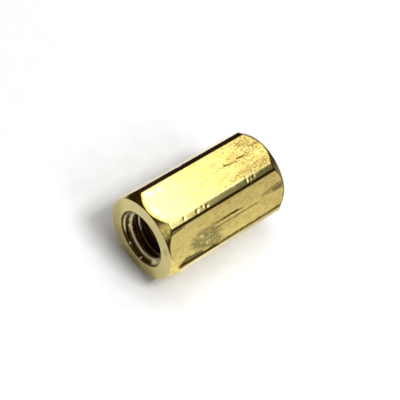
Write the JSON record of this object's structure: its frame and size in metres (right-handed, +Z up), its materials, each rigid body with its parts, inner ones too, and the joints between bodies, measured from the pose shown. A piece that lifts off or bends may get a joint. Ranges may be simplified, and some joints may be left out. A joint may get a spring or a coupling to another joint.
{
  "type": "hex standoff, tapped through",
  "caption": "Short brass hex standoff with a tapped through bore, turned conical ends and narrow lands on its corners.",
  "frame": {"origin": "Middle of the flat that the standoff lies on, so z = 0 is the surface under it.", "axes": "+X runs along the bore, from the end seen in front towards the far end. +Y runs across the bar, away from the facet seen in front. +Z runs up from the flat that it lies on to the flat above."},
  "size_m": [0.008, 0.0052, 0.0047],
  "materials": {
    "brass": "drawn flats, turned ends, lightly worn"
  },
  "bodies": {
    "root": {"hex_standoff": "brass"}
  },
  "joints": []
}
